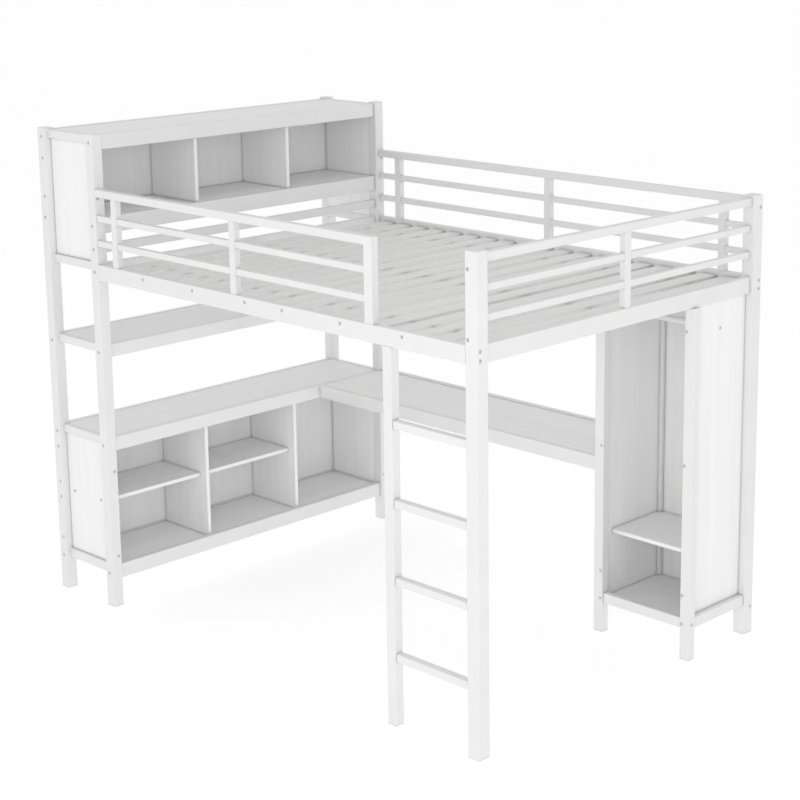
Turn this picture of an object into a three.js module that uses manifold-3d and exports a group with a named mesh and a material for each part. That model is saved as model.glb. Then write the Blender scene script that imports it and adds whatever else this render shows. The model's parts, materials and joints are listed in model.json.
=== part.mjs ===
// A full-size white loft bed, in millimetres, +Z up, X along the bed, -Y the ladder side. At the head
// end a bookcase as wide as the bed stands between four tall posts. A desk runs along the back from
// the bookcase's cabinet to a narrow open wardrobe under the foot end. Nothing on it moves.
import * as THREE from "three";
import { mergeVertices } from "three/addons/utils/BufferGeometryUtils.js";
import Module from "manifold-3d";

const wasm = await Module();
wasm.setup();

// ---------------------------------------------------------------- driving dimensions
const LENGTH = 2315; // outside of the bookcase to outside of the foot posts
const WIDTH = 1490; // ladder side to back
const GAP = 0.3; // clearance where two pieces meet
const BOARD = 15; // thickness of every panel and shelf
const TUBE = 25; // thickness of every rail tube
const LAP = 1; // how far bars that are joined run into each other
const RAIL_PROUD = 2; // the upper box's rails stand this far above its boards
const BOARD_DROP = 1; // the other boards lie this far below the tops of their rails

const BOOKCASE = { depth: 355, height: 1855, post: 44, frontInset: 10, backInset: 11 };
const END_RAIL_INSET = 19; // bookcase end rails sit back from the posts' outer faces
const END_RAIL = 32; // height of the bookcase's end and back rails

const BED = { post: 50, height: 1660, railTop: 1364, rail: 60, footInset: 12 };
const LEDGE = { wide: 25, thick: 3, below: 33 }; // angle strip inside each side rail, below its top
const SLAT = { count: 19, headRoll: 10, pitch: 99.4, wide: 68, thick: 16, side: 2 };
const STRAP = { wide: 22, thick: 2, fromSide: 180 };
const SUPPORT = { wide: 30, high: 36 };
const HEADBOARD = { bottom: 1404, high: 32, thick: 24 };

const GUARD = { top: 1650, tube: 28, slim: 22, slimThick: 20, upright: 30, uprightThick: 24 };
const GUARD_SLIM_BOTTOMS = [1529, 1434]; // the two slim tubes under each guard's top tube
const UPRIGHT_FROM_POST = 110; // centre of the first upright from the bookcase post
const FRONT_GUARD = { end: 1854, endPost: 38 };

const LADDER = { stileX: 1895, wide: 40, deep: 36, rung: 28, rungInset: 4, rungs: 4 };
const RUNG = { first: 231, pitch: 267 };

const UPPER = { roof: 1846, fasciaTop: 1850, fascia: 56, floor: 1538, sill: 63, backRailTop: 1523 };
const MIDDLE = { top: 1047, frontRail: 50 };
const CABINET = { top: 680, apron: 54, floor: 156, sill: [107, 165], backSill: 38 };
const CABINET_SHELF = { top: 418, front: 280, bays: 2 };
const CHEEK_BOTTOM_RAIL_TOP = 1365; // end rail under the upper box's side panels
const BAYS = 3;

const DESK = { front: 1104, backLip: 4 };

const WARDROBE = { left: 1870, front: 1098, leg: 41, legDeep: 36, backLegInset: 8, railInset: 6 };
const WARDROBE_BASE = { bottom: 115, high: 40, floor: 131 };
const WARDROBE_SHELF = { top: 388, front: 1170 };
const WARDROBE_PANEL = { leftX: 1880, rightX: 2270, backY: 1462 };
const CLOTHES_RAIL = { radius: 12.5, z: 1200, sides: 32 };

// ---------------------------------------------------------------- derived places
const from = (low, size) => [low, low + size];
const downFrom = (high, size) => [high - size, high];
const about = (middle, size) => [middle - size / 2, middle + size / 2];
const between = (low, high) => [low + GAP, high - GAP];
const mirrored = ([low, high]) => [WIDTH - high, WIDTH - low];
const keep = (span) => span;
const innerSpan = (size, ends) => between(ends[0] + size, ends[1] - size);

const ACROSS = [0, WIDTH];
const BOOKCASE_FRONT = BOOKCASE.depth;
const SHELF_Y = innerSpan(BOOKCASE.post, ACROSS);
const FRONT_RAIL_X = downFrom(BOOKCASE_FRONT - BOOKCASE.frontInset, TUBE);
const BACK_RAIL_X = from(BOOKCASE.backInset, TUBE);
const SHELF_X = between(BACK_RAIL_X[1], FRONT_RAIL_X[0]);
const BACK_PANEL_X = downFrom(BACK_RAIL_X[1], BOARD);

const FOOT_POST_X = downFrom(LENGTH, BED.post);
const SIDE_X = between(BOOKCASE_FRONT, FOOT_POST_X[0]);
const RAIL_Z = downFrom(BED.railTop, BED.rail);
const FOOT_X = downFrom(LENGTH - BED.footInset, TUBE);
const FOOT_Y = innerSpan(BED.post, ACROSS);
const SIDE_RAIL_Y = [0, TUBE];
const SLAT_BOTTOM = BED.railTop - LEDGE.below;
const SUPPORT_TOP = SLAT_BOTTOM - LEDGE.thick - GAP;

const UNDER_BED = RAIL_Z[0] - GAP;
const DESK_X = between(BOOKCASE_FRONT - BOOKCASE.frontInset, WARDROBE.left);
const DESK_FRONT_Y = from(DESK.front, TUBE);
const DESK_BACK_Y = downFrom(WIDTH, TUBE);
const DESK_BOARD_Z = downFrom(CABINET.top - BOARD_DROP, BOARD);

const LEFT_LEG_X = from(WARDROBE.left, WARDROBE.leg);
const RIGHT_LEG_X = downFrom(LENGTH, WARDROBE.leg);
const FRONT_LEG_Y = from(WARDROBE.front, WARDROBE.legDeep);
const BACK_LEG_Y = downFrom(WIDTH - WARDROBE.backLegInset, WARDROBE.legDeep);
const LEFT_RAIL_X = about((LEFT_LEG_X[0] + LEFT_LEG_X[1]) / 2, TUBE);
const RIGHT_RAIL_X = downFrom(LENGTH - WARDROBE.railInset, TUBE);
const WARDROBE_FRONT_RAIL_Y = from(WARDROBE.front + WARDROBE.railInset, TUBE);
const WARDROBE_SIDE_Y = between(FRONT_LEG_Y[1], WIDTH - BED.post);
const BASE_Z = from(WARDROBE_BASE.bottom, WARDROBE_BASE.high);
const PANEL_Z = [BASE_Z[1] + GAP, UNDER_BED];
const LEFT_BASE_X = [WARDROBE.left, WARDROBE_PANEL.leftX - GAP]; // a flat bar outside the panel
const LEFT_PANEL_X = from(WARDROBE_PANEL.leftX, BOARD);
const RIGHT_PANEL_X = from(WARDROBE_PANEL.rightX, BOARD);
const BACK_PANEL_Y = from(WARDROBE_PANEL.backY, BOARD);

// ---------------------------------------------------------------- materials
const paint = new THREE.MeshStandardMaterial({ color: 0xf1f1ef, roughness: 0.42, metalness: 0.1 });
const board = new THREE.MeshStandardMaterial({ color: 0xeeeeec, roughness: 0.55, metalness: 0 });
const slatWood = new THREE.MeshStandardMaterial({ color: 0xeceae6, roughness: 0.6, metalness: 0 });

// ---------------------------------------------------------------- solids
const bed = new THREE.Group();
bed.position.set(-LENGTH / 2, -WIDTH / 2, 0);

function bar(x, y, z) {
  const size = [x, y, z].map(([low, high]) => high - low);
  const centre = [x, y, z].map(([low, high]) => (low + high) / 2);
  return new THREE.BoxGeometry(...size).translate(...centre);
}

function toSolid(geometry) {
  const plain = geometry.clone();
  plain.deleteAttribute("normal");
  plain.deleteAttribute("uv");
  const merged = mergeVertices(plain);
  return new wasm.Manifold(
    new wasm.Mesh({
      numProp: 3,
      vertProperties: new Float32Array(merged.attributes.position.array),
      triVerts: new Uint32Array(merged.index.array),
    }),
  );
}

// Several overlapping bars as the one body that a weld, or one cut board, is.
function joined(bars) {
  const solid = bars.map(toSolid).reduce((whole, next) => whole.add(next));
  const mesh = solid.getMesh();
  return new THREE.BufferGeometry()
    .setAttribute("position", new THREE.BufferAttribute(mesh.vertProperties, 3))
    .setIndex(new THREE.BufferAttribute(mesh.triVerts, 1));
}

function add(name, geometry, material) {
  const shaded = geometry.index ? geometry.toNonIndexed() : geometry;
  shaded.computeVertexNormals();
  const mesh = new THREE.Mesh(shaded, material);
  mesh.name = name;
  bed.add(mesh);
}

// ---------------------------------------------------------------- bookcase
// Two posts and the rails between them, welded: one end of the bookcase.
function bookcaseEndFrame(name, side) {
  const { post, height, depth } = BOOKCASE;
  const postY = side([0, post]);
  const railY = side([END_RAIL_INSET, post]);
  const railX = [post / 2, depth - post / 2];
  const railTops = [UPPER.roof + RAIL_PROUD, CHEEK_BOTTOM_RAIL_TOP, MIDDLE.top, CABINET.top];
  const rails = railTops.map((top) => bar(railX, railY, downFrom(top, END_RAIL)));
  rails.push(bar(railX, railY, downFrom(CABINET.sill[1], CABINET.backSill)));
  const posts = [
    bar([0, post], postY, [0, height]),
    bar([depth - post, depth], postY, [0, height]),
  ];
  add(name, joined([...posts, ...rails]), paint);
}

function sidePanels(prefix, bottom, top) {
  const x = between(BOOKCASE.post, BOOKCASE_FRONT - BOOKCASE.post);
  const y = downFrom(BOOKCASE.post, BOARD);
  for (const [end, side] of [["front", keep], ["back", mirrored]]) {
    add(`${prefix}_side_panel_${end}`, bar(x, side(y), between(bottom, top)), board);
  }
}

function bayEdges() {
  const bay = (SHELF_Y[1] - SHELF_Y[0] - (BAYS - 1) * BOARD) / BAYS;
  return Array.from({ length: BAYS }, (_, i) => from(SHELF_Y[0] + i * (bay + BOARD), bay));
}

function dividers(prefix, bottom, top) {
  const bays = bayEdges();
  for (let i = 1; i < BAYS; i++) {
    const y = [bays[i - 1][1], bays[i][0]];
    add(`${prefix}_divider_${i}`, bar(SHELF_X, y, between(bottom, top)), board);
  }
}

function upperBox() {
  const backRailTop = downFrom(UPPER.roof + RAIL_PROUD, END_RAIL);
  const backRailLow = downFrom(UPPER.backRailTop, END_RAIL);
  const floor = [UPPER.backRailTop + GAP, UPPER.floor];
  const roof = downFrom(UPPER.roof, BOARD);
  const fascia = downFrom(UPPER.fasciaTop, UPPER.fascia);
  const sill = downFrom(UPPER.floor + RAIL_PROUD, UPPER.sill);
  add("upper_front_rail_top", bar(FRONT_RAIL_X, SHELF_Y, fascia), paint);
  add("upper_front_rail_low", bar(FRONT_RAIL_X, SHELF_Y, sill), paint);
  add("upper_back_rail_top", bar(BACK_RAIL_X, SHELF_Y, backRailTop), paint);
  add("upper_back_rail_low", bar(BACK_RAIL_X, SHELF_Y, backRailLow), paint);
  add("upper_top_board", bar(SHELF_X, SHELF_Y, roof), board);
  add("upper_bottom_board", bar([BACK_PANEL_X[0], SHELF_X[1]], SHELF_Y, floor), board);
  add("upper_back_panel", bar(BACK_PANEL_X, SHELF_Y, between(floor[1], backRailTop[0])), board);
  sidePanels("upper", CHEEK_BOTTOM_RAIL_TOP, backRailTop[0]);
  dividers("upper", floor[1], roof[0]);
}

function middleShelf() {
  const { top, frontRail } = MIDDLE;
  add("middle_front_rail", bar(FRONT_RAIL_X, SHELF_Y, downFrom(top, frontRail)), paint);
  add("middle_back_rail", bar(BACK_RAIL_X, SHELF_Y, downFrom(top, END_RAIL)), paint);
  add("middle_shelf_board", bar(SHELF_X, SHELF_Y, downFrom(top - BOARD_DROP, BOARD)), board);
}

function cabinet() {
  const { top, apron, floor, sill, backSill } = CABINET;
  const backSillZ = downFrom(sill[1], backSill);
  const topRailBottom = top - END_RAIL;
  add("cabinet_front_rail_top", bar(FRONT_RAIL_X, SHELF_Y, downFrom(top, apron)), paint);
  add("cabinet_front_rail_low", bar(FRONT_RAIL_X, SHELF_Y, sill), paint);
  add("cabinet_back_rail_top", bar(BACK_RAIL_X, SHELF_Y, downFrom(top, END_RAIL)), paint);
  add("cabinet_back_rail_low", bar(BACK_RAIL_X, SHELF_Y, backSillZ), paint);
  add("cabinet_top_board", bar(SHELF_X, SHELF_Y, DESK_BOARD_Z), board);
  add("cabinet_bottom_board", bar(SHELF_X, SHELF_Y, downFrom(floor, BOARD)), board);
  add("cabinet_back_panel", bar(BACK_PANEL_X, SHELF_Y, between(sill[1], topRailBottom)), board);
  sidePanels("cabinet", sill[1], topRailBottom);
  dividers("cabinet", floor, DESK_BOARD_Z[0]);
  const shelfX = [SHELF_X[0], CABINET_SHELF.front];
  const shelfZ = downFrom(CABINET_SHELF.top, BOARD);
  bayEdges().slice(0, CABINET_SHELF.bays).forEach(([low, high], i) => {
    add(`cabinet_shelf_${i + 1}`, bar(shelfX, between(low, high), shelfZ), board);
  });
}

// ---------------------------------------------------------------- bed
function footPosts() {
  for (const [end, side] of [["front", keep], ["back", mirrored]]) {
    add(`bed_post_${end}`, bar(FOOT_POST_X, side([0, BED.post]), [0, BED.height]), paint);
  }
}

// A side rail with the angle strip that the slats' ends rest on.
function sideRail(name, side) {
  const ledgeZ = downFrom(SLAT_BOTTOM, LEDGE.thick);
  const ledgeY = [TUBE - LAP, TUBE + LEDGE.wide];
  const rail = bar(SIDE_X, side(SIDE_RAIL_Y), RAIL_Z);
  add(name, joined([rail, bar(SIDE_X, side(ledgeY), ledgeZ)]), paint);
}

function bedRails() {
  sideRail("bed_rail_front", keep);
  sideRail("bed_rail_back", mirrored);
  add("bed_rail_head", bar(FRONT_RAIL_X, SHELF_Y, RAIL_Z), paint);
  add("bed_rail_foot", bar(FOOT_X, FOOT_Y, RAIL_Z), paint);
  const headboardX = about(BOOKCASE_FRONT - BOOKCASE.post / 2, HEADBOARD.thick);
  add("headboard_rail", bar(headboardX, SHELF_Y, from(HEADBOARD.bottom, HEADBOARD.high)), paint);
}

// The beam down the middle of the bed, welded to the one across it that stands on the wardrobe.
function slatSupport() {
  const z = [RAIL_Z[0], SUPPORT_TOP];
  const along = bar(between(FRONT_RAIL_X[1], FOOT_X[0]), about(WIDTH / 2, SUPPORT.wide), z);
  const across = bar(LEFT_RAIL_X, innerSpan(TUBE, ACROSS), z);
  add("slat_support_frame", joined([along, across]), paint);
}

// One roll of slats, held at their spacing by two webbing straps stapled under them.
function slatRoll(name, first, count) {
  const middles = (SLAT.count - 1) * SLAT.pitch;
  const firstMiddle = (SIDE_X[0] + SIDE_X[1] - middles) / 2;
  const y = innerSpan(TUBE + SLAT.side, ACROSS);
  const xOf = (i) => about(firstMiddle + (first + i) * SLAT.pitch, SLAT.wide);
  const z = from(SLAT_BOTTOM + GAP, SLAT.thick);
  const slats = Array.from({ length: count }, (_, i) => bar(xOf(i), y, z));
  const strapX = [xOf(0)[0] + STRAP.wide, xOf(count - 1)[1] - STRAP.wide];
  const strapZ = [z[0] - STRAP.thick, z[0] + STRAP.thick];
  const straps = [keep, mirrored].map((side) =>
    bar(strapX, side(from(STRAP.fromSide, STRAP.wide)), strapZ),
  );
  add(name, joined([...slats, ...straps]), slatWood);
}

// One guard in its own plane: a top tube, two slim tubes under it and the uprights. along runs with
// the guard and across is its thickness; place turns (along, across, z) into a bar.
function guard(name, along, across, uprights, endPost, place) {
  const centre = (across[0] + across[1]) / 2;
  const bottom = BED.railTop + GAP;
  const slim = about(centre, GUARD.slimThick);
  const bars = [place(along, across, downFrom(GUARD.top, GUARD.tube))];
  for (const low of GUARD_SLIM_BOTTOMS) bars.push(place(along, slim, from(low, GUARD.slim)));
  for (const middle of uprights) {
    const upright = about(middle, GUARD.upright);
    bars.push(place(upright, about(centre, GUARD.uprightThick), [bottom, GUARD.top - LAP]));
  }
  if (endPost) bars.push(place(endPost, across, [bottom, GUARD.top]));
  add(name, joined(bars), paint);
}

function guards() {
  const alongX = (along, across, z) => bar(along, across, z);
  const alongY = (along, across, z) => bar(across, along, z);
  const first = BOOKCASE_FRONT + UPRIGHT_FROM_POST;
  const last = FOOT_POST_X[0] - UPRIGHT_FROM_POST;
  const endPost = downFrom(FRONT_GUARD.end, FRONT_GUARD.endPost);
  const frontMiddle = (first + (endPost[0] + endPost[1]) / 2) / 2;
  const frontSpan = [SIDE_X[0], FRONT_GUARD.end];
  const footX = downFrom(LENGTH - BED.footInset, GUARD.tube);
  guard("guard_front", frontSpan, [0, GUARD.tube], [first, frontMiddle], endPost, alongX);
  const backUprights = [first, (first + last) / 2, last];
  guard("guard_back", SIDE_X, downFrom(WIDTH, GUARD.tube), backUprights, null, alongX);
  guard("guard_foot", FOOT_Y, footX, [WIDTH / 2], null, alongY);
}

function ladder() {
  const stileX = from(LADDER.stileX, LADDER.wide);
  const rungX = between(stileX[1], FOOT_POST_X[0]);
  const rungY = from(LADDER.rungInset, LADDER.rung);
  add("ladder_stile", bar(stileX, [0, LADDER.deep], [0, UNDER_BED]), paint);
  for (let i = 0; i < LADDER.rungs; i++) {
    const z = from(RUNG.first + i * RUNG.pitch, LADDER.rung);
    add(`ladder_rung_${i + 1}`, bar(rungX, rungY, z), paint);
  }
}

// ---------------------------------------------------------------- desk
function desk() {
  const apronZ = downFrom(CABINET.top, CABINET.apron);
  const backX = between(BOOKCASE_FRONT, WARDROBE.left);
  const boardY = between(DESK_FRONT_Y[1], DESK_BACK_Y[0]);
  const postFace = WIDTH - BOOKCASE.post - GAP;
  add("desk_front_rail", bar(DESK_X, DESK_FRONT_Y, apronZ), paint);
  add("desk_back_rail", bar(backX, DESK_BACK_Y, [apronZ[0], CABINET.top + DESK.backLip]), paint);
  // The board is notched at its back left corner to pass the bookcase post.
  const body = bar(DESK_X, [boardY[0], postFace], DESK_BOARD_Z);
  const tail = bar(backX, [postFace - LAP, boardY[1]], DESK_BOARD_Z);
  add("desk_top", joined([body, tail]), board);
}

// ---------------------------------------------------------------- wardrobe
// Its two left legs with the rails between them, welded.
function wardrobeLeftFrame() {
  const railY = [FRONT_LEG_Y[1] - LAP, BACK_LEG_Y[0] + LAP];
  const legs = [FRONT_LEG_Y, BACK_LEG_Y].map((y) => bar(LEFT_LEG_X, y, [0, UNDER_BED]));
  const base = bar(LEFT_BASE_X, railY, BASE_Z);
  const head = bar(LEFT_RAIL_X, railY, downFrom(UNDER_BED, END_RAIL));
  add("wardrobe_left_frame", joined([...legs, base, head]), paint);
}

function wardrobeFrame() {
  wardrobeLeftFrame();
  const frontX = between(LEFT_LEG_X[1], RIGHT_LEG_X[0]);
  add("wardrobe_leg_right", bar(RIGHT_LEG_X, FRONT_LEG_Y, [0, UNDER_BED]), paint);
  add("wardrobe_front_rail", bar(frontX, WARDROBE_FRONT_RAIL_Y, BASE_Z), paint);
  add("wardrobe_side_rail", bar(RIGHT_RAIL_X, WARDROBE_SIDE_Y, BASE_Z), paint);
}

function wardrobePanels() {
  const leftY = between(FRONT_LEG_Y[1], BACK_LEG_Y[0]);
  const leftTop = UNDER_BED - END_RAIL;
  const backX = between(LEFT_LEG_X[1], FOOT_POST_X[0]);
  const floorBottom = WARDROBE_BASE.floor - BOARD;
  add("wardrobe_left_panel", bar(LEFT_PANEL_X, leftY, [floorBottom, leftTop - GAP]), board);
  add("wardrobe_right_panel", bar(RIGHT_PANEL_X, WARDROBE_SIDE_Y, PANEL_Z), board);
  add("wardrobe_back_panel", bar(backX, BACK_PANEL_Y, [floorBottom, UNDER_BED]), board);
}

// A wardrobe board is notched at the back to pass the leg and the bed post.
function wardrobeBoards() {
  const tailX = between(LEFT_LEG_X[1], FOOT_POST_X[0]);
  const tailY = [WARDROBE_SIDE_Y[1] - LAP, BACK_PANEL_Y[0] - GAP];
  const noseX = between(LEFT_LEG_X[1], RIGHT_LEG_X[0]);
  const noseY = [WARDROBE_FRONT_RAIL_Y[1] + GAP, WARDROBE_SIDE_Y[0] + LAP];
  const floorZ = downFrom(WARDROBE_BASE.floor, BOARD);
  const floor = [
    bar(between(LEFT_PANEL_X[1], RIGHT_RAIL_X[0]), WARDROBE_SIDE_Y, floorZ),
    bar(noseX, noseY, floorZ),
    bar(tailX, tailY, floorZ),
  ];
  add("wardrobe_bottom_board", joined(floor), board);
  const shelfX = between(LEFT_PANEL_X[1], RIGHT_PANEL_X[0]);
  const shelfZ = downFrom(WARDROBE_SHELF.top, BOARD);
  const shelf = [
    bar(shelfX, [WARDROBE_SHELF.front, WARDROBE_SIDE_Y[1]], shelfZ),
    bar(tailX, tailY, shelfZ),
  ];
  add("wardrobe_shelf", joined(shelf), board);
}

function clothesRail() {
  const [left, right] = between(LEFT_PANEL_X[1], RIGHT_PANEL_X[0]);
  const { radius, z, sides } = CLOTHES_RAIL;
  const y = (FRONT_LEG_Y[1] + BACK_LEG_Y[0]) / 2;
  const rod = new THREE.CylinderGeometry(radius, radius, right - left, sides)
    .rotateZ(Math.PI / 2)
    .translate((left + right) / 2, y, z);
  add("clothes_rail", rod, paint);
}

bookcaseEndFrame("bookcase_end_frame_front", keep);
bookcaseEndFrame("bookcase_end_frame_back", mirrored);
upperBox();
middleShelf();
cabinet();
footPosts();
bedRails();
slatSupport();
slatRoll("slat_roll_head", 0, SLAT.headRoll);
slatRoll("slat_roll_foot", SLAT.headRoll, SLAT.count - SLAT.headRoll);
guards();
ladder();
desk();
wardrobeFrame();
wardrobePanels();
wardrobeBoards();
clothesRail();

export default bed;
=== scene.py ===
import json
import math

import bmesh
import bpy
from mathutils import Matrix, Vector


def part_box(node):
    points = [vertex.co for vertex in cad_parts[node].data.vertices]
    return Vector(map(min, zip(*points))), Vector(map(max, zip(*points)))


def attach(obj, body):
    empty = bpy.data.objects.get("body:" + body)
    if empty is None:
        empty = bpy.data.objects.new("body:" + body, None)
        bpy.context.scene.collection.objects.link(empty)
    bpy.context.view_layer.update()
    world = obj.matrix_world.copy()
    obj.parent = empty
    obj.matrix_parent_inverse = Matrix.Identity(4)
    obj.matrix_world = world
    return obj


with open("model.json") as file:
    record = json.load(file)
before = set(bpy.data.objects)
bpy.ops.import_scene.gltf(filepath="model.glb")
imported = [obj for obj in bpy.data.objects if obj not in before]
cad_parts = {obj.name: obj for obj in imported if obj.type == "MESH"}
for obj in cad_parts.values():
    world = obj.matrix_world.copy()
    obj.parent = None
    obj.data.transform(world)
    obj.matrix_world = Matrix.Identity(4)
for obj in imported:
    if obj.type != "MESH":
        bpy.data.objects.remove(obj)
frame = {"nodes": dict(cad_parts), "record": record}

MM = 0.001
X, Y, Z = 0, 1, 2
BODY = "root"
NODES = frame["nodes"]
SLOT_OF = {part["node"]: part["material_slot"] for part in frame["record"]["subparts"]}
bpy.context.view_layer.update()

# ---------------------------------------------------------------- sizes
TUBE_EDGE = 2.2 * MM
TUBE_EDGE_STEPS = 3
BOARD_EDGE = 1.5 * MM
WOOD_EDGE_STEPS = 2
SLAT_EDGE = 1.8 * MM
WELD_DISTANCE = 0.02 * MM
SHARP_ANGLE = math.radians(30)
FLAT_ANGLE = math.radians(1)

BOLT_RADIUS = 5.6 * MM
BOLT_HEIGHT = 1.4 * MM
BOLT_CHAMFER = 0.7 * MM
SOCKET_RADIUS = 3.0 * MM
SOCKET_DEPTH = 1.0 * MM
RECESS_RADIUS = 6.4 * MM
RECESS_DEPTH = 1.8 * MM
RING = 24
HEXAGON = 6

# ---------------------------------------------------------------- looks
# Colours are linear. A noise scale counts its cells in one metre.
# Painted shade: base colours are darkened where surfaces close in within this distance.
PAINTED_SHADE_REACH = 12 * MM
OPENNESS_SAMPLES = 8

PAINT_COLOUR = (0.8, 0.8, 0.797)
PAINT_DARK, PAINT_LIGHT = (0.787, 0.787, 0.786), (0.813, 0.813, 0.812)
PAINT_ROUGHNESS = 0.4
PAINT_GLOSSIEST, PAINT_DULLEST = 0.34, 0.48
# Painted shade: how dark the tubes' colour gets in corners and joints.
TUBE_PAINTED_SHADE_DARKEST = 0.7
CLOUD_SCALE = 6.0
PEEL_SCALE = 900.0
PEEL_DEPTH = 0.06 * MM
PEEL_STRENGTH = 0.35

GRAIN_STRETCH = 0.03
BAND_SCALE = 38.0
BAND_START, BAND_END = 0.32, 0.62
STREAK_SCALE = 210.0
STREAK_START, STREAK_END = 0.36, 0.56
STREAK_DARK, STREAK_LIGHT = (0.976, 0.976, 0.976), (1, 1, 1)
PORE_SCALE = 620.0
PORE_STRENGTH = 0.5
GLOSSIER, DULLER = 0.08, 0.1
BOARD = {
    "light": (0.918, 0.918, 0.918),
    "dark": (0.888, 0.888, 0.887),
    "pore_depth": 0.05 * MM,
    "roughness": 0.5,
    # Painted shade in the boards' corners and joints: its distance and darkest factor.
    "reach": PAINTED_SHADE_REACH,
    "painted_shade_darkest": 0.55,
}
SLAT = {
    "light": (0.87, 0.87, 0.866),
    "dark": (0.82, 0.82, 0.814),
    "pore_depth": 0.12 * MM,
    "roughness": 0.6,
    # Painted shade: a long distance darkens the gaps between slats, down to the darkest factor.
    "reach": 45 * MM,
    "painted_shade_darkest": 0.45,
}

ZINC_COLOUR = (0.6, 0.6, 0.61)
ZINC_ROUGHNESS = 0.38
ZINC_GLOSSIEST, ZINC_DULLEST = 0.3, 0.5
SCRATCH_SCALE = 1400.0
SCRATCH_DEPTH = 0.02 * MM
PLASTIC_COLOUR = (0.8, 0.8, 0.79)
PLASTIC_DARK, PLASTIC_LIGHT = (0.78, 0.78, 0.77), (0.82, 0.82, 0.81)
PLASTIC_ROUGHNESS = 0.45
MOULD_SCALE = 1100.0
MOULD_DEPTH = 0.04 * MM
SMALL_PART_STRENGTH = 0.3


# ---------------------------------------------------------------- frame lookups
def low(node, axis):
    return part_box(node)[0][axis]


def high(node, axis):
    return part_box(node)[1][axis]


def middle(node, axis):
    return (low(node, axis) + high(node, axis)) / 2


def part_way(node, axis, share):
    return low(node, axis) + share * (high(node, axis) - low(node, axis))


# ---------------------------------------------------------------- materials
def new_material(name, colour, roughness):
    material = bpy.data.materials.new(name)
    material.use_nodes = True
    shader = material.node_tree.nodes["Principled BSDF"]
    shader.inputs["Base Color"].default_value = (*colour, 1)
    shader.inputs["Roughness"].default_value = roughness
    return material, material.node_tree, shader


def noise(tree, scale, detail=4.0, stretch=(1, 1, 1)):
    """Noise in object space, which is the model's own frame, stretched along one axis for grain."""
    place = tree.nodes.new("ShaderNodeTexCoord")
    mapping = tree.nodes.new("ShaderNodeMapping")
    texture = tree.nodes.new("ShaderNodeTexNoise")
    mapping.inputs["Scale"].default_value = stretch
    texture.inputs["Scale"].default_value = scale
    texture.inputs["Detail"].default_value = detail
    tree.links.new(place.outputs["Object"], mapping.inputs["Vector"])
    tree.links.new(mapping.outputs["Vector"], texture.inputs["Vector"])
    return texture.outputs["Fac"]


def ramp(tree, factor, dark, light, start=0.3, end=0.7):
    blend = tree.nodes.new("ShaderNodeValToRGB")
    blend.color_ramp.elements[0].position = start
    blend.color_ramp.elements[0].color = (*dark, 1)
    blend.color_ramp.elements[1].position = end
    blend.color_ramp.elements[1].color = (*light, 1)
    tree.links.new(factor, blend.inputs["Fac"])
    return blend.outputs["Color"]


def spread(tree, factor, lowest, highest):
    to_range = tree.nodes.new("ShaderNodeMapRange")
    to_range.inputs["To Min"].default_value = lowest
    to_range.inputs["To Max"].default_value = highest
    tree.links.new(factor, to_range.inputs["Value"])
    return to_range.outputs["Result"]


def multiply(tree, first, second):
    mix = tree.nodes.new("ShaderNodeMix")
    mix.data_type = "RGBA"
    mix.blend_type = "MULTIPLY"
    mix.inputs["Factor"].default_value = 1
    tree.links.new(first, mix.inputs["A"])
    tree.links.new(second, mix.inputs["B"])
    return mix.outputs["Result"]


def painted_crevice_shade(tree, reach, painted_shade_darkest):
    """A colour factor of painted shade: 1 in the open, lower in corners and narrow gaps where surfaces
    close in within the given distance.
    """
    openness = tree.nodes.new("ShaderNodeAmbientOcclusion")
    openness.samples = OPENNESS_SAMPLES
    openness.inputs["Distance"].default_value = reach
    return spread(tree, openness.outputs["AO"], painted_shade_darkest, 1)


def bump(tree, shader, height, distance, strength):
    relief = tree.nodes.new("ShaderNodeBump")
    relief.inputs["Distance"].default_value = distance
    relief.inputs["Strength"].default_value = strength
    tree.links.new(height, relief.inputs["Height"])
    tree.links.new(relief.outputs["Normal"], shader.inputs["Normal"])


def powder_coat():
    """Satin powder coat: fine orange peel, a little cloudiness in colour and in gloss, and painted
    shade in corners and joints.
    """
    material, tree, shader = new_material("powder_coat", PAINT_COLOUR, PAINT_ROUGHNESS)
    clouds = noise(tree, CLOUD_SCALE)
    peel = noise(tree, PEEL_SCALE, detail=2.0)
    colour = ramp(tree, clouds, PAINT_DARK, PAINT_LIGHT)
    # Painted shade: the colour is darkened where surfaces close in, in corners and joints.
    shaded = multiply(tree, colour, painted_crevice_shade(tree, PAINTED_SHADE_REACH, TUBE_PAINTED_SHADE_DARKEST))
    tree.links.new(shaded, shader.inputs["Base Color"])
    gloss = spread(tree, clouds, PAINT_GLOSSIEST, PAINT_DULLEST)
    tree.links.new(gloss, shader.inputs["Roughness"])
    bump(tree, shader, peel, PEEL_DEPTH, PEEL_STRENGTH)
    return material


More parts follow.
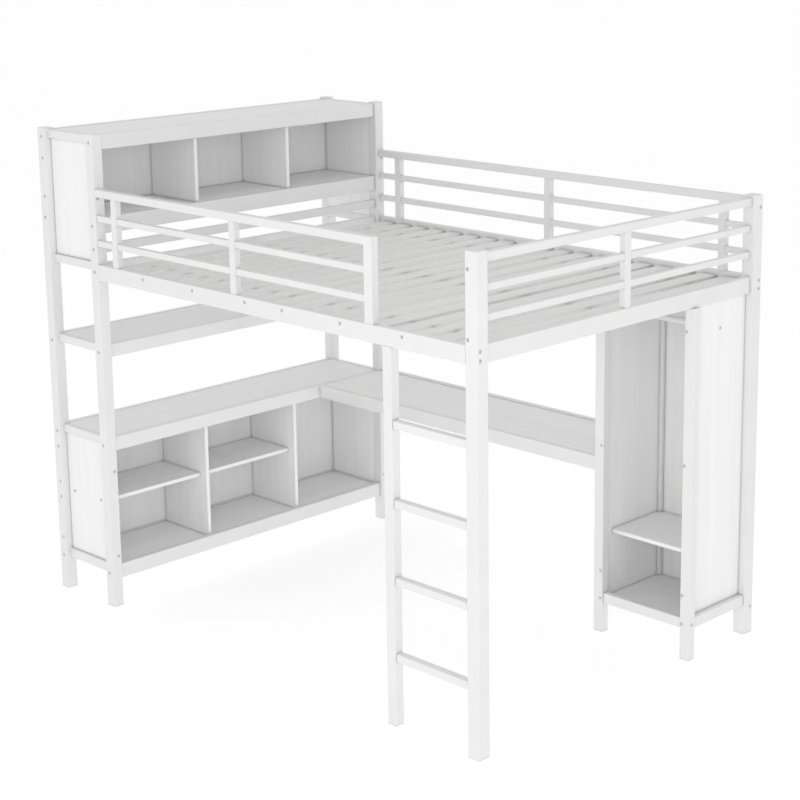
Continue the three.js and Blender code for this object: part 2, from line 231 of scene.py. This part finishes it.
def grained(name, along, light, dark, pore_depth, roughness, reach, painted_shade_darkest):
    """White board or slat with grain along one axis: broad bands, fine streaks and pressed pores, and
    painted shade in corners and gaps.
    """
    material, tree, shader = new_material(name, light, roughness)
    length = [1.0, 1.0, 1.0]
    length[along] = GRAIN_STRETCH
    bands = noise(tree, BAND_SCALE, detail=3.0, stretch=length)
    streaks = noise(tree, STREAK_SCALE, detail=6.0, stretch=length)
    pores = noise(tree, PORE_SCALE, detail=3.0, stretch=length)
    tint = multiply(
        tree,
        ramp(tree, bands, dark, light, BAND_START, BAND_END),
        ramp(tree, streaks, STREAK_DARK, STREAK_LIGHT, STREAK_START, STREAK_END),
    )
    # Painted shade: the colour is darkened in corners, joints and the gaps between slats.
    shaded = multiply(tree, tint, painted_crevice_shade(tree, reach, painted_shade_darkest))
    tree.links.new(shaded, shader.inputs["Base Color"])
    gloss = spread(tree, streaks, roughness - GLOSSIER, roughness + DULLER)
    tree.links.new(gloss, shader.inputs["Roughness"])
    bump(tree, shader, pores, pore_depth, PORE_STRENGTH)
    return material


def bright_zinc():
    material, tree, shader = new_material("bright_zinc", ZINC_COLOUR, ZINC_ROUGHNESS)
    shader.inputs["Metallic"].default_value = 1
    scratches = noise(tree, SCRATCH_SCALE, detail=3.0)
    gloss = spread(tree, scratches, ZINC_GLOSSIEST, ZINC_DULLEST)
    tree.links.new(gloss, shader.inputs["Roughness"])
    bump(tree, shader, scratches, SCRATCH_DEPTH, SMALL_PART_STRENGTH)
    return material


def moulded_plastic():
    material, tree, shader = new_material("moulded_plastic", PLASTIC_COLOUR, PLASTIC_ROUGHNESS)
    texture = noise(tree, MOULD_SCALE, detail=2.0)
    tint = ramp(tree, texture, PLASTIC_DARK, PLASTIC_LIGHT)
    tree.links.new(tint, shader.inputs["Base Color"])
    bump(tree, shader, texture, MOULD_DEPTH, SMALL_PART_STRENGTH)
    return material


PAINT = powder_coat()
BOARDS = [grained(f"white_board_{'xyz'[axis]}", axis, **BOARD) for axis in (X, Y, Z)]
SLAT_WOOD = grained("stained_slat", Y, **SLAT)
ZINC = bright_zinc()
PLASTIC = moulded_plastic()


# ---------------------------------------------------------------- CAD nodes: edges and finish
def smooth_shading():
    """A node group that shades every face smooth, so that bevels read as round."""
    group = bpy.data.node_groups.new("shade_smooth", "GeometryNodeTree")
    group.interface.new_socket("Geometry", in_out="INPUT", socket_type="NodeSocketGeometry")
    group.interface.new_socket("Geometry", in_out="OUTPUT", socket_type="NodeSocketGeometry")
    source = group.nodes.new("NodeGroupInput")
    smooth = group.nodes.new("GeometryNodeSetShadeSmooth")
    result = group.nodes.new("NodeGroupOutput")
    group.links.new(source.outputs[0], smooth.inputs["Geometry"])
    group.links.new(smooth.outputs["Geometry"], result.inputs[0])
    return group


SMOOTH = smooth_shading()


def soften_edges(piece, width, segments):
    weld = piece.modifiers.new("weld", "WELD")
    weld.merge_threshold = WELD_DISTANCE
    merge = piece.modifiers.new("merge_flat_faces", "DECIMATE")
    merge.decimate_type = "DISSOLVE"
    merge.angle_limit = FLAT_ANGLE
    edge = piece.modifiers.new("edge", "BEVEL")
    edge.width = width
    edge.segments = segments
    edge.limit_method = "ANGLE"
    edge.angle_limit = SHARP_ANGLE


def finish_shading(piece):
    smooth = piece.modifiers.new("smooth", "NODES")
    smooth.node_group = SMOOTH
    normals = piece.modifiers.new("normals", "WEIGHTED_NORMAL")
    normals.keep_sharp = True


def longest_axis(node):
    return max((X, Y, Z), key=lambda axis: high(node, axis) - low(node, axis))


def grain_axis(node):
    """Upright panels have upright grain, and shelves have grain along their length."""
    return Z if "panel" in node or "divider" in node else longest_axis(node)


def dress_node(node, piece):
    slot = SLOT_OF[node]
    piece.data.materials.clear()
    if slot == "white_paint":
        piece.data.materials.append(PAINT)
        soften_edges(piece, TUBE_EDGE, TUBE_EDGE_STEPS)
    elif slot == "white_board":
        piece.data.materials.append(BOARDS[grain_axis(node)])
        soften_edges(piece, BOARD_EDGE, WOOD_EDGE_STEPS)
    else:
        piece.data.materials.append(SLAT_WOOD)
        soften_edges(piece, SLAT_EDGE, WOOD_EDGE_STEPS)


# ---------------------------------------------------------------- fasteners
FACES = {
    "-x": Vector((-1, 0, 0)),
    "+x": Vector((1, 0, 0)),
    "-y": Vector((0, -1, 0)),
    "+y": Vector((0, 1, 0)),
}


def on_face(node, face, along, z):
    """A point on one outer face of a node's box."""
    if face[1] == "x":
        return Vector((high(node, X) if face == "+x" else low(node, X), along, z))
    return Vector((along, high(node, Y) if face == "+y" else low(node, Y), z))


def facing(point, face):
    """Local +Z turned to look out of the face."""
    return Matrix.Translation(point) @ FACES[face].to_track_quat("Z", "Y").to_matrix().to_4x4()


def circle(radius, height):
    turns = (2 * math.pi * i / RING for i in range(RING))
    return [Vector((radius * math.cos(t), radius * math.sin(t), height)) for t in turns]


def hexagon(radius, height):
    """As many points as a circle has, spread evenly along a hexagon's six sides."""
    corners = [2 * math.pi * i / HEXAGON for i in range(HEXAGON + 1)]
    points = [Vector((radius * math.cos(t), radius * math.sin(t), height)) for t in corners]
    steps = RING // HEXAGON
    return [
        points[side].lerp(points[side + 1], step / steps)
        for side in range(HEXAGON)
        for step in range(steps)
    ]


def loft(mesh, rings, place):
    """A closed solid through rings of points, capped at its first and last ring."""
    rows = [[mesh.verts.new(place @ point) for point in ring] for ring in rings]
    for lower, upper in zip(rows, rows[1:]):
        for i in range(RING):
            j = (i + 1) % RING
            mesh.faces.new((lower[i], lower[j], upper[j], upper[i]))
    mesh.faces.new(list(reversed(rows[0])))
    mesh.faces.new(rows[-1])


def bolt_rings():
    bottom = -RECESS_DEPTH
    top = bottom + BOLT_HEIGHT
    return [
        circle(BOLT_RADIUS, bottom),
        circle(BOLT_RADIUS, top - BOLT_CHAMFER),
        circle(BOLT_RADIUS - BOLT_CHAMFER, top),
        hexagon(SOCKET_RADIUS, top),
        hexagon(SOCKET_RADIUS, top - SOCKET_DEPTH),
    ]


def recess_rings():
    return [circle(RECESS_RADIUS, -RECESS_DEPTH), circle(RECESS_RADIUS, RECESS_DEPTH)]


def made_of(name, places, rings, material=None):
    """One object with a copy of the rings' solid at every place."""
    shape = bmesh.new()
    for place in places:
        loft(shape, rings, place)
    bmesh.ops.recalc_face_normals(shape, faces=shape.faces)
    mesh = bpy.data.meshes.new(name)
    shape.to_mesh(mesh)
    shape.free()
    piece = bpy.data.objects.new(name, mesh)
    bpy.context.scene.collection.objects.link(piece)
    if material:
        mesh.materials.append(material)
    return piece


ENDS = (("front", "-y"), ("back", "+y"))
HEAD_RAILS = [
    "upper_front_rail_top", "upper_front_rail_low", "bed_rail_head", "headboard_rail",
    "middle_front_rail", "cabinet_front_rail_top", "cabinet_front_rail_low",
]
RAIL_PAIRS = [
    ("upper_back_rail_top", "upper_front_rail_top"), ("upper_back_rail_low", "upper_front_rail_low"),
    ("middle_back_rail", "middle_front_rail"), ("cabinet_back_rail_top", "cabinet_front_rail_top"),
    ("cabinet_back_rail_low", "cabinet_front_rail_low"),
]
PANEL_SCREWS = {"upper": (0.5, 0.83), "cabinet": (0.1, 0.45, 0.58, 0.88)}
PANEL_SCREW_IN = 28 * MM
CABINET_POST_SCREWS = (0.08, 0.79)
CABINET_POST_SCREW_IN = 30 * MM
SIDE_RAIL_STEPS = (98 * MM, 388 * MM, 678 * MM)
SIDE_RAIL_DROP = 19 * MM
GUARD_BOLT_DROP = 35 * MM
FOOT_BOLT_IN = 12 * MM
FOOT_BOLT_DROP = 47 * MM
FOOT_BOLT_RISE = 18 * MM
RAIL_BOLT_STEP = 15 * MM
LEG_SCREWS = (0.077, 0.5, 0.926)
LEFT_LEG_SCREW_IN = 9 * MM
RIGHT_LEG_SCREW_IN = 8 * MM
SIDE_RAIL_BOLT_DROP = 11 * MM
SHELF_SCREW_FROM_BACK = 46 * MM
SHELF_SCREW_FROM_FRONT = 22 * MM


def end_frame_bolts():
    """Every rail across the bookcase is bolted through the posts, and panels are screwed on behind."""
    for end, face in ENDS:
        host = f"bookcase_end_frame_{end}"
        for rail in HEAD_RAILS:
            yield host, face, on_face(host, face, middle(rail, X), middle(rail, Z))
        for back_rail, front_rail in RAIL_PAIRS:
            yield host, face, on_face(host, face, middle(back_rail, X), middle(front_rail, Z))
        for box, shares in PANEL_SCREWS.items():
            for share in shares:
                z = part_way(f"{box}_side_panel_{end}", Z, share)
                yield host, face, on_face(host, face, low(host, X) + PANEL_SCREW_IN, z)


def end_frame_inner_bolts():
    for end, _ in ENDS:
        host = f"bookcase_end_frame_{end}"
        inward = 1 if end == "front" else -1
        outside = low(host, Y) if end == "front" else high(host, Y)
        guard_z = high("guard_front", Z) - GUARD_BOLT_DROP
        yield host, "+x", on_face(host, "+x", middle(f"guard_{end}", Y), guard_z)
        for share in CABINET_POST_SCREWS:
            z = part_way("cabinet_side_panel_front", Z, share)
            yield host, "+x", on_face(host, "+x", outside + inward * CABINET_POST_SCREW_IN, z)


def side_rail_bolts():
    for end, face in ENDS:
        host = f"bed_rail_{end}"
        z = high(host, Z) - SIDE_RAIL_DROP
        for step in SIDE_RAIL_STEPS:
            yield host, face, on_face(host, face, middle(host, X) - step, z)
            yield host, face, on_face(host, face, middle(host, X) + step, z)


def foot_post_bolts():
    for end, face in ENDS:
        host = f"bed_post_{end}"
        x = low(host, X) + FOOT_BOLT_IN
        yield host, face, on_face(host, face, x, high("guard_foot", Z) - FOOT_BOLT_DROP)
        yield host, face, on_face(host, face, x, high("bed_rail_foot", Z) + FOOT_BOLT_RISE)
        for step in (-RAIL_BOLT_STEP, RAIL_BOLT_STEP):
            z = middle("bed_rail_foot", Z) + step
            yield host, "+x", on_face(host, "+x", middle(f"guard_{end}", Y), z)
    back = "bed_post_back"
    y = middle("guard_back", Y)
    yield back, "+x", on_face(back, "+x", y, high("guard_back", Z) - GUARD_BOLT_DROP)
    yield back, "+x", on_face(back, "+x", y, low("wardrobe_side_rail", Z) - SIDE_RAIL_BOLT_DROP)


def wardrobe_bolts():
    left, right = "wardrobe_left_frame", "wardrobe_leg_right"
    left_x = high(left, X) - LEFT_LEG_SCREW_IN
    right_x = low(right, X) + RIGHT_LEG_SCREW_IN
    base = middle("wardrobe_front_rail", Z)
    for share in LEG_SCREWS:
        z = part_way("wardrobe_right_panel", Z, share)
        yield right, "-y", on_face(right, "-y", right_x, z)
        if share != LEG_SCREWS[-1]:
            yield left, "-y", on_face(left, "-y", left_x, z)
    yield left, "-y", on_face(left, "-y", left_x, base)
    yield right, "-y", on_face(right, "-y", right_x, base)
    yield right, "+x", on_face(right, "+x", middle(right, Y), base)


def panel_screws():
    """Screws through the panels into the lowest shelf and into the clothes rail's ends."""
    for end, face in ENDS:
        host = f"cabinet_side_panel_{end}"
        z = middle("cabinet_shelf_1", Z)
        yield host, face, on_face(host, face, low("cabinet_shelf_1", X) + SHELF_SCREW_FROM_BACK, z)
        yield host, face, on_face(host, face, high("cabinet_shelf_1", X) - SHELF_SCREW_FROM_FRONT, z)
    y, z = middle("clothes_rail", Y), middle("clothes_rail", Z)
    for host, face in (("wardrobe_left_panel", "-x"), ("wardrobe_right_panel", "+x")):
        yield host, face, on_face(host, face, y, z)


BOLT_ROWS = {
    "end_frame_bolts": end_frame_bolts,
    "end_frame_inner_bolts": end_frame_inner_bolts,
    "side_rail_bolts": side_rail_bolts,
    "foot_post_bolts": foot_post_bolts,
    "wardrobe_bolts": wardrobe_bolts,
    "panel_screws": panel_screws,
}


def add_bolts():
    """Bolt heads sunk in the tubes, and for every tube the cutter of its recesses."""
    recesses = {}
    for name, rows in BOLT_ROWS.items():
        places = []
        for host, face, point in rows():
            places.append(facing(point, face))
            recesses.setdefault(host, []).append(places[-1])
        bolts = made_of(name, places, bolt_rings(), ZINC)
        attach(bolts, BODY)
    return recesses


def cut_recesses(recesses):
    for host, places in recesses.items():
        cutter = made_of(f"{host}_recesses", places, recess_rings())
        cutter.hide_render = True
        cutter.hide_viewport = True
        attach(cutter, BODY)
        cut = NODES[host].modifiers.new("recesses", "BOOLEAN")
        cut.operation = "DIFFERENCE"
        cut.solver = "EXACT"
        cut.object = cutter


SOCKET_LIP = 5 * MM
SOCKET_FLANGE = 9 * MM
SOCKET_FLANGE_THICK = 3 * MM
SOCKET_LENGTH = 11 * MM
SOCKET_ROUND = 0.8 * MM
SOCKET_WALL_GAP = 0.4 * MM
SOCKET_GRIP = 0.98


def rail_socket_rings():
    """A flange on the panel and a collar round the rail's end, which it grips."""
    rail = (high("clothes_rail", Z) - low("clothes_rail", Z)) / 2
    collar, flange = rail + SOCKET_LIP / 2, rail + SOCKET_FLANGE
    return [
        circle(rail * SOCKET_GRIP, 0),
        circle(flange, 0),
        circle(flange, SOCKET_FLANGE_THICK - SOCKET_ROUND),
        circle(flange - SOCKET_ROUND, SOCKET_FLANGE_THICK),
        circle(collar, SOCKET_FLANGE_THICK),
        circle(collar, SOCKET_LENGTH - SOCKET_ROUND),
        circle(collar - SOCKET_ROUND, SOCKET_LENGTH),
        circle(rail * SOCKET_GRIP, SOCKET_LENGTH),
    ]


def add_sockets():
    y, z = middle("clothes_rail", Y), middle("clothes_rail", Z)
    left = Vector((high("wardrobe_left_panel", X) + SOCKET_WALL_GAP, y, z))
    right = Vector((low("wardrobe_right_panel", X) - SOCKET_WALL_GAP, y, z))
    places = [facing(left, "+x"), facing(right, "-x")]
    sockets = made_of("clothes_rail_sockets", places, rail_socket_rings(), PLASTIC)
    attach(sockets, BODY)
    finish_shading(sockets)


# ---------------------------------------------------------------- studio
CAMERA_PLACE = (4.9591, -4.7504, 2.7064)
CAMERA_YAW = 43.904
CAMERA_PITCH = 12.315
CAMERA_ROLL = -0.409
CAMERA_LENS = 84.02
CAMERA_SENSOR = 36
CAMERA_SIGHT = 200
CAMERA_SHIFT = (-0.08, -0.12)


def add_camera():
    data = bpy.data.cameras.new("camera")
    data.sensor_width = CAMERA_SENSOR
    data.lens = CAMERA_LENS
    data.shift_x, data.shift_y = CAMERA_SHIFT
    data.clip_end = CAMERA_SIGHT
    camera = bpy.data.objects.new("camera", data)
    turn = Matrix.Rotation(math.radians(CAMERA_YAW), 4, "Z")
    tilt = Matrix.Rotation(math.radians(90 - CAMERA_PITCH), 4, "X")
    roll = Matrix.Rotation(math.radians(CAMERA_ROLL), 4, "Z")
    camera.matrix_world = Matrix.Translation(CAMERA_PLACE) @ turn @ tilt @ roll
    bpy.context.scene.collection.objects.link(camera)
    bpy.context.scene.camera = camera


SKY_ZENITH = 0.7
SKY_HORIZON = 1.0
SKY_CLEAR_AT = 0.6
FLOOR_GLOW = 0.32
FLOOR_SIZE = 200
FLOOR_COLOUR = (0.9, 0.9, 0.9)
FLOOR_DARK, FLOOR_LIGHT = (0.895, 0.895, 0.895), (0.905, 0.905, 0.905)
FLOOR_ROUGHNESS = 0.9
FLOOR_SCALE = 0.8
LIGHT_AIM = (0, 0, 1)
LIGHTS = {
    "near": {"place": (4.2, -4.0, 2.2), "size": 2.5, "power": 40},
    "front": {"place": (2.5, -6.0, 2.6), "size": 3.0, "power": 18},
    "top": {"place": (0.0, 0.0, 5.0), "size": 4.0, "power": 7},
}


def add_light(name, place, size, power):
    data = bpy.data.lights.new(name, "AREA")
    data.shape = "SQUARE"
    data.size = size
    data.energy = power
    light = bpy.data.objects.new(name, data)
    light.location = place
    aim = Vector(LIGHT_AIM) - Vector(place)
    light.rotation_euler = aim.to_track_quat("-Z", "Y").to_euler()
    bpy.context.scene.collection.objects.link(light)


def add_floor():
    """A white floor that glows a little, as a lit product table does."""
    material, tree, shader = new_material("studio_floor", FLOOR_COLOUR, FLOOR_ROUGHNESS)
    tint = ramp(tree, noise(tree, FLOOR_SCALE), FLOOR_DARK, FLOOR_LIGHT)
    tree.links.new(tint, shader.inputs["Base Color"])
    shader.inputs["Emission Color"].default_value = (1, 1, 1, 1)
    shader.inputs["Emission Strength"].default_value = FLOOR_GLOW
    bpy.ops.mesh.primitive_plane_add(size=FLOOR_SIZE)
    floor = bpy.context.object
    floor.name = "floor"
    floor.data.materials.append(material)


def add_sky():
    """A white dome, brightest at the horizon and dimmer overhead."""
    world = bpy.data.worlds.new("studio")
    world.use_nodes = True
    tree = world.node_tree
    direction = tree.nodes.new("ShaderNodeTexCoord")
    parts = tree.nodes.new("ShaderNodeSeparateXYZ")
    fade = tree.nodes.new("ShaderNodeMapRange")
    fade.interpolation_type = "SMOOTHSTEP"
    fade.inputs["From Max"].default_value = SKY_CLEAR_AT
    fade.inputs["To Min"].default_value = SKY_HORIZON
    fade.inputs["To Max"].default_value = SKY_ZENITH
    background = tree.nodes["Background"]
    background.inputs["Color"].default_value = (1, 1, 1, 1)
    tree.links.new(direction.outputs["Generated"], parts.inputs["Vector"])
    tree.links.new(parts.outputs["Z"], fade.inputs["Value"])
    tree.links.new(fade.outputs["Result"], background.inputs["Strength"])
    bpy.context.scene.world = world


def add_studio():
    bpy.context.scene.view_settings.view_transform = "Standard"
    for name, light in LIGHTS.items():
        add_light(name, **light)
    add_sky()
    add_floor()


# ---------------------------------------------------------------- assembly
for node, piece in NODES.items():
    dress_node(node, piece)
cut_recesses(add_bolts())
for piece in NODES.values():
    finish_shading(piece)
add_sockets()
add_camera()
add_studio()
